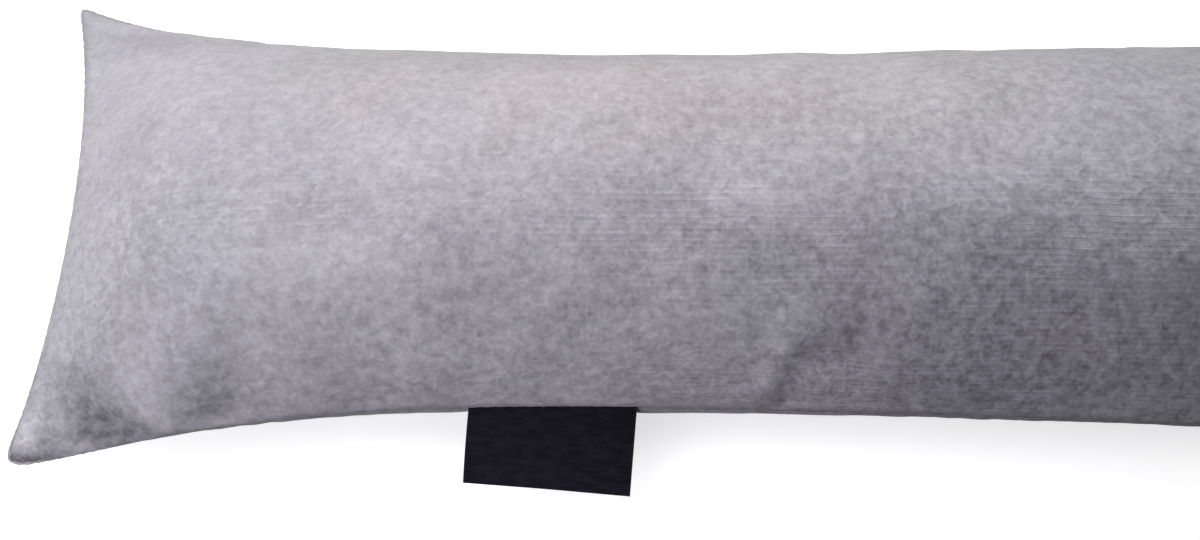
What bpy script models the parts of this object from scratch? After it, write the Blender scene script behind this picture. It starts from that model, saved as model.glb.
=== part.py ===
"""Draught excluder: a long stuffed cushion of grey velour with a plain dark label in its front seam.

Metres, +Z up. The cushion lies on its back along X, with its front long seam towards -Y. The origin is
in the middle of the flat patch that it rests on.
"""
import math
from collections import namedtuple

import bmesh
import bpy
from mathutils import Vector

# Cloth, as cut and sewn
PANEL_WIDTH = 0.200
HALF_WAIST = 0.0713
BELLY = 0.0088
BELLY_MIDDLE = 0.044
BELLY_REACH = 0.300
TAPER = 0.0032
TAPER_RUN = 0.150
SEAM_HEIGHT = 0.050
SEAM_DIP = 0.003

# Ends: the short seams hollow in between the corners, and the filling thins out towards them
END_HOLLOW_POWER = 2.1
CROWN_RUN = 0.070
CROWN_POWER = 2.6
UNDERSIDE_RUN = 0.060
UNDERSIDE_POWER = 2.2
END_BLEND = 0.120
SPACING_BLEND = 0.045
DROOP_REACH = 0.055

# One row per corner: where its sharp point would be, how far it flares past the waist and over what run
Ear = namedtuple("Ear", "end side tip_x flare run power rounding droop")
EARS = (
    Ear("left", "front", -0.4515, 0.0183, 0.0780, 1.30, 0.0125, 0.009),
    Ear("left", "back", -0.4417, 0.0276, 0.0570, 0.97, 0.0085, 0.006),
    Ear("right", "front", 0.4500, 0.0220, 0.0720, 1.20, 0.0105, 0.007),
    Ear("right", "back", 0.4470, 0.0240, 0.0640, 1.05, 0.0095, 0.007),
)
END_HOLLOW = {"left": 0.0140, "right": 0.0130}

# One row per place where a long seam stands out (above zero) or in, and over what reach
SeamWave = namedtuple("SeamWave", "side x reach out")
SEAM_WAVES = (
    SeamWave("front", -0.0550, 0.0950, -0.0020),
    SeamWave("front", -0.2950, 0.0500, -0.0011),
    SeamWave("front", -0.4250, 0.0350, 0.0006),
)

# One row per main crease of the upper panel. x is along the cushion, arc is over the cloth from the front
# seam; a rise below zero is a trough, above zero a ridge
Crease = namedtuple("Crease", "x1 arc1 x2 arc2 half_width rise")
CREASES = (
    Crease(-0.1645, 0.001, -0.1530, 0.034, 0.0060, -0.0038),
    Crease(-0.1690, 0.016, -0.1570, 0.048, 0.0080, 0.0017),
    Crease(-0.1320, 0.026, -0.1380, 0.054, 0.0090, -0.0020),
    Crease(-0.1230, 0.028, -0.1280, 0.048, 0.0080, 0.0009),
    Crease(-0.1920, 0.078, -0.1660, 0.064, 0.0110, -0.0015),
    Crease(-0.4150, 0.011, -0.4120, 0.030, 0.0068, -0.0030),
    Crease(-0.3960, 0.002, -0.4070, 0.012, 0.0062, -0.0030),
    Crease(-0.3870, 0.002, -0.3890, 0.020, 0.0062, 0.0020),
    Crease(-0.3660, 0.008, -0.3615, 0.034, 0.0090, -0.0021),
    Crease(-0.3620, 0.042, -0.3475, 0.084, 0.0130, 0.0011),
    Crease(-0.3130, 0.008, -0.3230, 0.032, 0.0105, -0.0015),
    Crease(0.2360, 0.004, 0.2520, 0.056, 0.0090, -0.0024),
    Crease(0.3520, 0.006, 0.3400, 0.048, 0.0090, -0.0020),
    Crease(0.4200, 0.008, 0.4100, 0.042, 0.0080, -0.0026),
)

# How much of its depth a crease keeps at its second end
CREASE_FADE = 0.35

# Widest chords that the sections bow over, as parts of the panel's width, so that the ears keep some body
UPPER_CHORD_LIMIT = 0.995
LOWER_CHORD_LIMIT = 0.985

# Mesh fineness
ACROSS = 20
FLAT_LINES = 3
FLAT_BLEND = 0.015
END_STEP = 0.0045
MIDDLE_STEP = 0.0125
CREASE_STEP = 0.0075
CREASE_ZONE = (-0.200, -0.115)
STEP_BLEND = 0.140
CURVE_SAMPLES = 600
ROUNDING_SAMPLES = 12
HALVINGS = 60
BISECT_FROM = 0.01
SHARP_ANGLE = math.radians(50.0)

# Label: a folded strip, its two layers a little apart, its fold at the free edge
LABEL_MIDDLE_X = -0.2442
LABEL_WIDTH = 0.0625
LABEL_DEPTH = 0.0305
LABEL_TILT = math.radians(4.8)
LABEL_LAYER = 0.0010
LABEL_GAP = 0.0004
LABEL_CLEARANCE = 0.0003
LABEL_DIP_START = math.radians(8.0)
LABEL_DIP_END = math.radians(34.0)
LABEL_WIDTH_STEPS = 6
LABEL_DEPTH_STEPS = 10
LABEL_FOLD_STEPS = 6
LABEL_DROOP_PARTS = 24


def smooth(t):
    """Ease from 0 to 1 as t goes from 0 to 1, level at both ends."""
    t = min(max(t, 0.0), 1.0)
    return t * t * (3.0 - 2.0 * t)


def mix(a, b, t):
    """Value a at t = 0, b at t = 1."""
    return a + (b - a) * t


def ear(end, side):
    """The table row of one corner."""
    return next(row for row in EARS if row.end == end and row.side == side)


def belly_part(x):
    """How much of the belly a place along the cushion has, from 0 to 1."""
    return 0.5 * (1.0 + math.cos(math.pi * min(abs(x - BELLY_MIDDLE) / BELLY_REACH, 1.0)))


def half_width(x, side):
    """Distance of one long seam from the middle line: the waist, the fuller middle, tapers, flares, waves."""
    width = HALF_WAIST + BELLY * belly_part(x)
    for end in ("left", "right"):
        row = ear(end, side)
        inward = abs(x - row.tip_x)
        width += TAPER * math.exp(-(inward / TAPER_RUN) ** 2)
        width += row.flare * math.exp(-(inward / row.run) ** row.power)
    for wave in SEAM_WAVES:
        if wave.side == side:
            width += wave.out * math.exp(-((x - wave.x) / wave.reach) ** 2)
    return width


def seam_height(x):
    """Height of the seams over the floor, before their corners droop: a little lower along the belly."""
    return SEAM_HEIGHT - SEAM_DIP * belly_part(x)


def long_seam(side):
    """Plan points of one long seam from left to right, its corners still sharp."""
    sign = -1.0 if side == "front" else 1.0
    left, right = ear("left", side).tip_x, ear("right", side).tip_x
    points = []
    for i in range(CURVE_SAMPLES + 1):
        x = mix(left, right, i / CURVE_SAMPLES)
        points.append(Vector((x, sign * half_width(x, side))))
    return points


def short_seam(end):
    """Plan points of one short seam from front to back, hollowed in between its corners."""
    corners = []
    for side, sign in (("front", -1.0), ("back", 1.0)):
        x = ear(end, side).tip_x
        corners.append(Vector((x, sign * half_width(x, side))))
    inward = 1.0 if end == "left" else -1.0
    points = []
    for i in range(CURVE_SAMPLES + 1):
        t = i / CURVE_SAMPLES
        hollow = END_HOLLOW[end] * (1.0 - abs(2.0 * t - 1.0) ** END_HOLLOW_POWER)
        points.append(corners[0].lerp(corners[1], t) + Vector((inward * hollow, 0.0)))
    return points


def running_length(points):
    """Length along a row of points, up to each of them."""
    lengths = [0.0]
    for a, b in zip(points, points[1:]):
        lengths.append(lengths[-1] + (b - a).length)
    return lengths


def at_length(points, lengths, wanted):
    """Point of a row at a given length along it."""
    low, high = 0, len(lengths) - 1
    while high - low > 1:
        middle = (low + high) // 2
        if lengths[middle] <= wanted:
            low = middle
        else:
            high = middle
    span = lengths[high] - lengths[low]
    return points[low].lerp(points[high], (wanted - lengths[low]) / span)


def corner_arc(corner, along, across, rounding):
    """Half of a corner's round, from its outermost point to where it runs into the seam called along."""
    a = at_length(along, running_length(along), rounding)
    b = at_length(across, running_length(across), rounding)
    points = []
    for i in range(ROUNDING_SAMPLES + 1):
        t = 0.5 * (1.0 - i / ROUNDING_SAMPLES)
        points.append(a * (1.0 - t) ** 2 + corner * 2.0 * t * (1.0 - t) + b * t * t)
    return points


def rounded(seam, start_neighbour, end_neighbour, start_rounding, end_rounding):
    """A seam between the outermost points of its two rounded corners."""
    start = corner_arc(seam[0], seam, start_neighbour, start_rounding)
    end = corner_arc(seam[-1], seam[::-1], end_neighbour, end_rounding)
    lengths = running_length(seam)
    kept = [p for p, s in zip(seam, lengths) if start_rounding < s < lengths[-1] - end_rounding]
    return start + kept + end[::-1]


def outline():
    """The four rounded seams in plan: long ones from left to right, short ones from front to back."""
    raw = {"front": long_seam("front"), "back": long_seam("back")}
    raw.update({"left": short_seam("left"), "right": short_seam("right")})
    seams = {}
    for side in ("front", "back"):
        starts = raw["left"] if side == "front" else raw["left"][::-1]
        ends = raw["right"] if side == "front" else raw["right"][::-1]
        roundings = (ear("left", side).rounding, ear("right", side).rounding)
        seams[side] = rounded(raw[side], starts, ends, *roundings)
    for end in ("left", "right"):
        starts = raw["front"] if end == "left" else raw["front"][::-1]
        ends = raw["back"] if end == "left" else raw["back"][::-1]
        roundings = (ear(end, "front").rounding, ear(end, "back").rounding)
        seams[end] = rounded(raw[end], starts, ends, *roundings)
    return {name: (points, running_length(points)) for name, points in seams.items()}


def seam_point(seam, fraction):
    """Point of a seam at a fraction of its length."""
    points, lengths = seam
    return at_length(points, lengths, fraction * lengths[-1])


def station_fractions(front):
    """Fractions of the long seams where the mesh has a row: close together at the ends and the creases."""
    length = front[1][-1]
    places = [0.0]
    while places[-1] < length:
        here = places[-1]
        from_end = min(here, length - here)
        step = mix(END_STEP, MIDDLE_STEP, smooth(from_end / STEP_BLEND))
        x = seam_point(front, here / length).x
        if CREASE_ZONE[0] < x < CREASE_ZONE[1]:
            step = min(step, CREASE_STEP)
        places.append(here + step)
    return [place / places[-1] for place in places]


def crown_angle(chord):
    """Half angle of the upper panel's arc, whose length stays PANEL_WIDTH over the given chord."""
    low, high = BISECT_FROM, math.pi
    for _ in range(HALVINGS):
        middle = 0.5 * (low + high)
        if math.sin(middle) / middle > chord / PANEL_WIDTH:
            low = middle
        else:
            high = middle
    return low


def upper_section(chord):
    """Across the upper panel: place from -1 at the front seam to 1 at the back, and height over them."""
    chord = min(chord, UPPER_CHORD_LIMIT * PANEL_WIDTH)
    angle = crown_angle(chord)
    radius = PANEL_WIDTH / (2.0 * angle)
    rows = []
    for k in range(ACROSS + 1):
        turn = angle * (2.0 * k / ACROSS - 1.0)
        rows.append((math.sin(turn) / math.sin(angle), radius * (math.cos(turn) - math.cos(angle))))
    return rows


def lower_section(chord, height):
    """Across the lower panel: place as above, and height over its seams.

    It is an arc like the upper one, but where that would hang lower than the floor its middle lies flat.
    """
    chord = min(chord, LOWER_CHORD_LIMIT * PANEL_WIDTH)
    angle = crown_angle(chord)
    radius = PANEL_WIDTH / (2.0 * angle)
    depth = radius * (1.0 - math.cos(angle))
    flat = 0.0
    if depth > height:
        depth = height
        slack = (PANEL_WIDTH - chord) / (2.0 * height)
        low, high = BISECT_FROM, math.pi
        for _ in range(HALVINGS):
            middle = 0.5 * (low + high)
            if (middle - math.sin(middle)) / (1.0 - math.cos(middle)) < slack:
                low = middle
            else:
                high = middle
        radius = height / (1.0 - math.cos(low))
        flat = 0.5 * chord - radius * math.sin(low)
    rows = []
    for k in range(ACROSS + 1):
        lines = abs(k - ACROSS // 2)
        even = 0.5 * PANEL_WIDTH * lines / (ACROSS // 2)
        if lines <= FLAT_LINES:
            fitted = flat * lines / FLAT_LINES
        else:
            fitted = mix(flat, 0.5 * PANEL_WIDTH, (lines - FLAT_LINES) / (ACROSS // 2 - FLAT_LINES))
        arc = mix(even, fitted, smooth(flat / FLAT_BLEND))
        turn = max(arc - flat, 0.0) / radius
        place = min(arc, flat) + radius * math.sin(turn)
        sign = 1.0 if k >= ACROSS // 2 else -1.0
        rows.append((sign * place / (0.5 * chord), radius * (1.0 - math.cos(turn)) - depth))
    return rows


def end_rise(distance, run, power):
    """How full the cushion is at a distance from its short seam: 0 at the seam, 1 past the run."""
    t = min(max(distance / run, 0.0), 1.0)
    return 1.0 - (1.0 - t) ** power


def corner_droop(point):
    """How far the seams hang below their usual height, near each corner."""
    drop = 0.0
    for row in EARS:
        sign = -1.0 if row.side == "front" else 1.0
        tip = Vector((row.tip_x, sign * half_width(row.tip_x, row.side)))
        drop += row.droop * math.exp(-((point - tip).length / DROOP_REACH) ** 2)
    return drop


def plan_point(seams, fraction, place):
    """Plan point between the long seams, drawn towards the short seams' hollow near them."""
    front, back = seam_point(seams["front"], fraction), seam_point(seams["back"], fraction)
    across = 0.5 * (place + 1.0)
    point = front.lerp(back, across)
    for end, start in (("left", 0.0), ("right", 1.0)):
        distance = abs(fraction - start) * seams["front"][1][-1]
        if distance < END_BLEND and 0.0 <= across <= 1.0:
            straight = seam_point(seams["front"], start).lerp(seam_point(seams["back"], start), across)
            bend = seam_point(seams[end], across) - straight
            point = point + bend * (1.0 - smooth(distance / END_BLEND))
    return point


def panel_grid(seams, fractions, upper):
    """Rows of points of one panel, a row per station, from the front seam to the back one."""
    length = seams["front"][1][-1]
    grid = []
    for fraction in fractions:
        front, back = seam_point(seams["front"], fraction), seam_point(seams["back"], fraction)
        chord = (back - front).length
        height = seam_height(0.5 * (front.x + back.x))
        section = upper_section(chord) if upper else lower_section(chord, height)
        distance = min(fraction, 1.0 - fraction) * length
        run, power = (CROWN_RUN, CROWN_POWER) if upper else (UNDERSIDE_RUN, UNDERSIDE_POWER)
        fullness = end_rise(distance, run, power)
        row = []
        for k, (place, rise) in enumerate(section):
            even = 2.0 * k / ACROSS - 1.0
            place = mix(even, place, smooth(distance / SPACING_BLEND))
            point = plan_point(seams, fraction, place)
            z = height - corner_droop(point) + rise * fullness
            row.append(Vector((point.x, point.y, max(z, 0.0))))
        grid.append(row)
    return grid


def distance_to_line(point, start, end):
    """Distance of a point from a stretch of line, and how far along the stretch it is, from 0 to 1."""
    line = end - start
    t = min(max((point - start).dot(line) / line.length_squared, 0.0), 1.0)
    return (point - start - line * t).length, t


def crease_rise(x, arc):
    """Height of the creases over the smooth upper panel, at a place on its cloth."""
    rise = 0.0
    for row in CREASES:
        start, end = Vector((row.x1, row.arc1)), Vector((row.x2, row.arc2))
        distance, t = distance_to_line(Vector((x, arc)), start, end)
        fade = mix(1.0, CREASE_FADE, t)
        rise += row.rise * fade * math.exp(-(distance / row.half_width) ** 2)
    return rise


def crease(grid):
    """Push the upper panel in and out along its own slope, leaving its seams where they are."""
    creased = [list(row) for row in grid]
    for i in range(1, len(grid) - 1):
        arc = 0.0
        for k in range(1, ACROSS):
            arc += (grid[i][k] - grid[i][k - 1]).length
            along = grid[i + 1][k] - grid[i - 1][k]
            across = grid[i][k + 1] - grid[i][k - 1]
            outward = along.cross(across).normalized()
            creased[i][k] = grid[i][k] + outward * crease_rise(grid[i][k].x, arc)
    return creased


def material(name, color, roughness, sheen):
    """A cloth finish."""
    finish = bpy.data.materials.new(name)
    finish.use_nodes = True
    shader = finish.node_tree.nodes["Principled BSDF"]
    shader.inputs["Base Color"].default_value = (*color, 1.0)
    shader.inputs["Roughness"].default_value = roughness
    shader.inputs["Metallic"].default_value = 0.0
    shader.inputs["Sheen Weight"].default_value = sheen
    finish.diffuse_color = (*color, 1.0)
    return finish


def add_object(name, mesh_builder, finish):
    """Turn a bmesh into a named object with its finish."""
    mesh_builder.normal_update()
    mesh = bpy.data.meshes.new(name)
    mesh_builder.to_mesh(mesh)
    mesh_builder.free()
    mesh.materials.append(finish)
    mesh.shade_smooth()
    mesh.set_sharp_from_angle(angle=SHARP_ANGLE)
    thing = bpy.data.objects.new(name, mesh)
    bpy.context.scene.collection.objects.link(thing)
    return thing


def make_cushion():
    """The filled cushion: two panels that share their seams, creased above and flat where it rests."""
    seams = outline()
    fractions = station_fractions(seams["front"])
    upper = crease(panel_grid(seams, fractions, True))
    lower = panel_grid(seams, fractions, False)
    last = len(fractions) - 1
    builder = bmesh.new()
    top = [[builder.verts.new(point) for point in row] for row in upper]
    bottom = []
    for i, row in enumerate(lower):
        line = []
        for k, point in enumerate(row):
            on_seam = i in (0, last) or k in (0, ACROSS)
            line.append(top[i][k] if on_seam else builder.verts.new(point))
        bottom.append(line)
    resting = []
    for i in range(last):
        for k in range(ACROSS):
            builder.faces.new((top[i][k], top[i + 1][k], top[i + 1][k + 1], top[i][k + 1]))
            corners = (bottom[i][k], bottom[i][k + 1], bottom[i + 1][k + 1], bottom[i + 1][k])
            face = builder.faces.new(corners)
            if all(corner.co.z == 0.0 for corner in corners):
                resting.append(face)
    bmesh.ops.dissolve_faces(builder, faces=resting)
    finish = material("velour", (0.42, 0.42, 0.45), 0.85, 0.6)
    return add_object("cushion", builder, finish)


def label_section():
    """Points round the folded label's section, as (depth from the seam, height over its middle layer)."""
    outer = LABEL_LAYER + 0.5 * LABEL_GAP
    inner = 0.5 * LABEL_GAP
    fold_at = LABEL_DEPTH - outer
    steps = [fold_at * i / LABEL_DEPTH_STEPS for i in range(LABEL_DEPTH_STEPS + 1)]
    turns = [math.pi * (0.5 - i / LABEL_FOLD_STEPS) for i in range(1, LABEL_FOLD_STEPS)]
    loop = [(depth, outer) for depth in steps]
    loop += [(fold_at + outer * math.cos(turn), outer * math.sin(turn)) for turn in turns]
    loop += [(depth, -outer) for depth in reversed(steps)]
    loop += [(depth, -inner) for depth in steps]
    loop += [(fold_at + inner * math.cos(turn), inner * math.sin(turn)) for turn in reversed(turns)]
    loop += [(depth, inner) for depth in reversed(steps)]
    return loop


def label_droop(depth):
    """Where the label's middle layer is at a depth from the seam: out, down and its dip there."""
    step = depth / LABEL_DROOP_PARTS
    out = down = 0.0
    for i in range(LABEL_DROOP_PARTS):
        dip = mix(LABEL_DIP_START, LABEL_DIP_END, (i + 0.5) * step / LABEL_DEPTH)
        out += math.cos(dip) * step
        down += math.sin(dip) * step
    return out, down, mix(LABEL_DIP_START, LABEL_DIP_END, depth / LABEL_DEPTH)


def make_label():
    """The folded label, slightly askew in the front seam, its root cut parallel to the seam."""
    along = Vector((math.cos(LABEL_TILT), -math.sin(LABEL_TILT), 0.0))
    outward = Vector((-math.sin(LABEL_TILT), -math.cos(LABEL_TILT), 0.0))
    root_height = seam_height(LABEL_MIDDLE_X)
    root = Vector((LABEL_MIDDLE_X, -half_width(LABEL_MIDDLE_X, "front"), root_height))
    section = label_section()
    builder = bmesh.new()
    rings = []
    for i in range(LABEL_WIDTH_STEPS + 1):
        side = LABEL_WIDTH * (i / LABEL_WIDTH_STEPS - 0.5)
        line = root + along * side
        seam_y = -half_width(line.x, "front") - LABEL_CLEARANCE
        start = (line.y - seam_y) / -outward.y
        ring = []
        for depth, height in section:
            depth = mix(start, LABEL_DEPTH, depth / LABEL_DEPTH)
            out, down, dip = label_droop(depth)
            point = line + outward * (out + height * math.sin(dip))
            point.z += height * math.cos(dip) - down
            ring.append(builder.verts.new(point))
        rings.append(ring)
    count = len(section)
    for a, b in zip(rings, rings[1:]):
        for k in range(count):
            builder.faces.new((a[k], b[k], b[(k + 1) % count], a[(k + 1) % count]))
    for ring, flip in ((rings[0], False), (rings[-1], True)):
        half = count // 2
        for k in range(half - 1):
            corners = [ring[k], ring[k + 1], ring[count - 2 - k], ring[count - 1 - k]]
            builder.faces.new(corners[::-1] if flip else corners)
    bmesh.ops.recalc_face_normals(builder, faces=builder.faces[:])
    finish = material("label_tape", (0.012, 0.012, 0.014), 0.6, 0.1)
    return add_object("label", builder, finish)


def main():
    """Clear the scene and make the two pieces."""
    for thing in list(bpy.data.objects):
        bpy.data.objects.remove(thing)
    make_cushion()
    make_label()


main()
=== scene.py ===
"""Draught excluder: looks for the long stuffed velour cushion and the plain dark label in its seam.

Metres, in the frame of the CAD model: X along the cushion, its front long seam towards -Y, +Z up, and
the origin in the middle of the flat patch that it rests on. The two velour panels are rebuilt finely from
the sizes that the CAD solid has, and the label is two thin layers of tape folded at its free edge.
"""

import logging
import math
from dataclasses import dataclass, field
from enum import Enum
from typing import Any, Callable, NamedTuple, Optional, Sequence, Union

import bpy
import numpy as np
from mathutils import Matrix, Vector


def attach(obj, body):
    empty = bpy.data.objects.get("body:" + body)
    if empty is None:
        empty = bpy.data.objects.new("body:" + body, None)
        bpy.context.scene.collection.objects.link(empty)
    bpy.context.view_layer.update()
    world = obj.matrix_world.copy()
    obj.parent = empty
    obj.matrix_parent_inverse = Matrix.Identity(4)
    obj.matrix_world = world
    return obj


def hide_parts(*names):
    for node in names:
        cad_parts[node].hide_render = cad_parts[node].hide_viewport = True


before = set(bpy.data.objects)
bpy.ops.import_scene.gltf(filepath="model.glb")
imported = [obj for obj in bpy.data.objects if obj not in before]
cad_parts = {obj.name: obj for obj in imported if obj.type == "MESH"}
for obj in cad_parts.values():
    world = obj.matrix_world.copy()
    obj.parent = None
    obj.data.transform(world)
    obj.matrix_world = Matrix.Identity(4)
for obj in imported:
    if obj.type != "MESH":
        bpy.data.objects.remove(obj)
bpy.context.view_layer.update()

LOG = logging.getLogger("draught_excluder")
BODY = "root"
IMAGE_WIDTH = 1200

HALVINGS = 60
SMALLEST_ANGLE = 0.01
SMALLEST_LENGTH = 1e-12
BLUR_REACH = 3.0
INNER = (slice(1, -1), slice(1, -1))

Floats = Union[float, np.ndarray]
Number = Union[float, "Value"]
Colour = Union[tuple[float, float, float], "Value"]


class End(Enum):
    """Which end of the cushion."""

    LEFT = "left"
    RIGHT = "right"


class Side(Enum):
    """Which long side of the cushion, with its sign along Y."""

    FRONT = -1.0
    BACK = 1.0


class Panel(Enum):
    """Which of the two velour panels."""

    UPPER = "upper"
    LOWER = "lower"


Seams = dict[Union[Side, End], "SeamLine"]


class Ear(NamedTuple):
    """One corner: where its sharp point would be, its flare past the waist and over what run."""

    end: End
    side: Side
    tip_x: float
    flare: float
    run: float
    power: float
    rounding: float
    droop: float


class SeamWave(NamedTuple):
    """A place where a long seam stands out, or in below zero, and over what reach."""

    side: Side
    x: float
    reach: float
    out: float


class Crease(NamedTuple):
    """One crease: from and to, as x and as cloth from the front seam, below zero for a trough."""

    x1: float
    arc1: float
    x2: float
    arc2: float
    half_width: float
    rise: float


class NapAndPaintedLightPatch(NamedTuple):
    """A patch of painted light and shade, partly where the pile leans another way: its middle, its reach and
    how much lighter it looks.
    """

    x: float
    arc: float
    reach_x: float
    reach_arc: float
    shade: float


def smooth(t: np.ndarray) -> np.ndarray:
    """Ease from 0 to 1 as t goes from 0 to 1, level at both ends."""
    t = np.clip(t, 0.0, 1.0)
    return t * t * (3.0 - 2.0 * t)


def bell(t: Floats) -> Floats:
    """Bell curve, 1 at t = 0 and fading on both sides."""
    return np.exp(-(t**2))


def mix(a: Floats, b: Floats, t: Floats) -> Floats:
    """Value a at t = 0, b at t = 1."""
    return a + (b - a) * t


def bisect(too_low: Callable[[np.ndarray], np.ndarray], count: int) -> np.ndarray:
    """Angles where a test turns from true to false.

    Args:
        too_low: takes an array of angles and says for each whether it is still too low.
        count: how many angles are sought.

    Returns:
        One angle for each, in radians.
    """
    low = np.full(count, SMALLEST_ANGLE)
    high = np.full(count, math.pi)
    for _ in range(HALVINGS):
        middle = 0.5 * (low + high)
        below = too_low(middle)
        low = np.where(below, middle, low)
        high = np.where(below, high, middle)
    return low


class SeamLine:
    """Plan points along a seam, read by the fraction of its length."""

    def __init__(self, points: np.ndarray) -> None:
        """Keep the points and the length up to each.

        Args:
            points: plan points, one after another.
        """
        steps = np.linalg.norm(np.diff(points, axis=0), axis=1)
        self.points = points
        self.lengths = np.concatenate([[0.0], np.cumsum(steps)])

    @property
    def length(self) -> float:
        """Whole length of the seam."""
        return float(self.lengths[-1])

    def at_length(self, wanted: Floats) -> np.ndarray:
        """Plan points at lengths along the seam."""
        parts = [np.interp(wanted, self.lengths, self.points[:, axis]) for axis in (0, 1)]
        return np.stack(parts, -1)

    def at(self, fraction: Floats) -> np.ndarray:
        """Plan points at fractions of the seam's length."""
        return self.at_length(np.asarray(fraction) * self.length)

    def reversed(self) -> "SeamLine":
        """The same seam from its other end."""
        return SeamLine(self.points[::-1])


@dataclass(frozen=True)
class Outline:
    """The cushion's seams in plan: a waist, a fuller belly, flared corners and hollow ends."""

    half_waist: float = 0.0713
    belly: float = 0.0088
    belly_middle: float = 0.044
    belly_reach: float = 0.300
    taper: float = 0.0032
    taper_run: float = 0.150
    hollow_power: float = 2.1
    hollow_left: float = 0.0140
    hollow_right: float = 0.0130
    droop_reach: float = 0.055
    samples: int = 600
    rounding_samples: int = 12
    ears: tuple[Ear, ...] = (
        Ear(End.LEFT, Side.FRONT, -0.4515, 0.0183, 0.0780, 1.30, 0.0125, 0.009),
        Ear(End.LEFT, Side.BACK, -0.4417, 0.0276, 0.0570, 0.97, 0.0085, 0.006),
        Ear(End.RIGHT, Side.FRONT, 0.4500, 0.0220, 0.0720, 1.20, 0.0105, 0.007),
        Ear(End.RIGHT, Side.BACK, 0.4470, 0.0240, 0.0640, 1.05, 0.0095, 0.007),
    )
    waves: tuple[SeamWave, ...] = (
        SeamWave(Side.FRONT, -0.0550, 0.0950, -0.0020),
        SeamWave(Side.FRONT, -0.2950, 0.0500, -0.0011),
        SeamWave(Side.FRONT, -0.4250, 0.0350, 0.0006),
    )

    def ear(self, end: End, side: Side) -> Ear:
        """The table row of one corner."""
        return next(row for row in self.ears if row.end == end and row.side == side)

    def belly_part(self, x: Floats) -> Floats:
        """How much of the belly a place along the cushion has, from 0 to 1."""
        away = np.minimum(np.abs(x - self.belly_middle) / self.belly_reach, 1.0)
        return 0.5 * (1.0 + np.cos(math.pi * away))

    def half_width(self, x: Floats, side: Side) -> Floats:
        """Distance of a long seam from the middle line.

        Args:
            x: place or places along the cushion.
            side: which long seam.

        Returns:
            The distance in metres, in the same form as x.
        """
        width = self.half_waist + self.belly * self.belly_part(x)
        for end in End:
            row = self.ear(end, side)
            inward = np.abs(x - row.tip_x)
            width = width + self.taper * bell(inward / self.taper_run)
            width = width + row.flare * np.exp(-((inward / row.run) ** row.power))
        for wave in self.waves:
            if wave.side is side:
                width = width + wave.out * bell((x - wave.x) / wave.reach)
        return width

    def corner(self, end: End, side: Side) -> np.ndarray:
        """Plan point where a corner would be sharp."""
        x = self.ear(end, side).tip_x
        return np.array([x, side.value * self.half_width(x, side)])

    def sharp_long(self, side: Side) -> SeamLine:
        """One long seam from left to right, its corners still sharp.

        Args:
            side: which long side.

        Returns:
            The seam.
        """
        left, right = self.ear(End.LEFT, side).tip_x, self.ear(End.RIGHT, side).tip_x
        x = np.linspace(left, right, self.samples + 1)
        return SeamLine(np.stack([x, side.value * self.half_width(x, side)], -1))

    def sharp_short(self, end: End) -> SeamLine:
        """One short seam from front to back, hollowed in between its corners.

        Args:
            end: which end.

        Returns:
            The seam.
        """
        t = np.linspace(0.0, 1.0, self.samples + 1)
        start, stop = self.corner(end, Side.FRONT), self.corner(end, Side.BACK)
        deepest = self.hollow_left if end is End.LEFT else -self.hollow_right
        hollow = deepest * (1.0 - np.abs(2.0 * t - 1.0) ** self.hollow_power)
        points = mix(start, stop, t[:, None])
        points[:, 0] += hollow
        return SeamLine(points)

    def half_round(self, seam: SeamLine, neighbour: SeamLine, rounding: float) -> np.ndarray:
        """Half of a corner's round, from its outermost point to where it runs into a seam.

        Args:
            seam: the seam that it runs into, starting at the corner.
            neighbour: the other seam of the corner, starting there too.
            rounding: how far from the sharp corner the round starts.

        Returns:
            Plan points.
        """
        a, b = seam.at_length(rounding), neighbour.at_length(rounding)
        t = np.linspace(0.5, 0.0, self.rounding_samples + 1)[:, None]
        return a * (1.0 - t) ** 2 + seam.points[0] * 2.0 * t * (1.0 - t) + b * t * t

    def rounded(
        self, seam: SeamLine, neighbours: Sequence[SeamLine], roundings: Sequence[float]
    ) -> SeamLine:
        """A seam between the outermost points of its two rounded corners.

        Args:
            seam: the seam with sharp corners.
            neighbours: the seams met at its start and at its end, each starting at that corner.
            roundings: how far each round reaches along the seam.

        Returns:
            The rounded seam.
        """
        start = self.half_round(seam, neighbours[0], roundings[0])
        stop = self.half_round(seam.reversed(), neighbours[1], roundings[1])
        kept = (seam.lengths > roundings[0]) & (seam.lengths < seam.length - roundings[1])
        return SeamLine(np.concatenate([start, seam.points[kept], stop[::-1]]))

    def seams(self) -> Seams:
        """The four rounded seams: long ones from left to right, short ones from front to back.

        Returns:
            The seams by side and by end.
        """
        long = {side: self.sharp_long(side) for side in Side}
        short = {end: self.sharp_short(end) for end in End}
        found: Seams = {}
        for side in Side:
            meets = [short[end] if side is Side.FRONT else short[end].reversed() for end in End]
            roundings = [self.ear(end, side).rounding for end in End]
            found[side] = self.rounded(long[side], meets, roundings)
        for end in End:
            meets = [long[side] if end is End.LEFT else long[side].reversed() for side in Side]
            roundings = [self.ear(end, side).rounding for side in Side]
            found[end] = self.rounded(short[end], meets, roundings)
        return found

    def corner_droop(self, points: np.ndarray) -> np.ndarray:
        """How far the seams hang below their usual height, near each corner.

        Args:
            points: plan points.

        Returns:
            The drop at each, in metres.
        """
        drop = np.zeros(points.shape[:-1])
        for row in self.ears:
            away = np.linalg.norm(points - self.corner(row.end, row.side), axis=-1)
            drop += row.droop * bell(away / self.droop_reach)
        return drop


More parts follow.
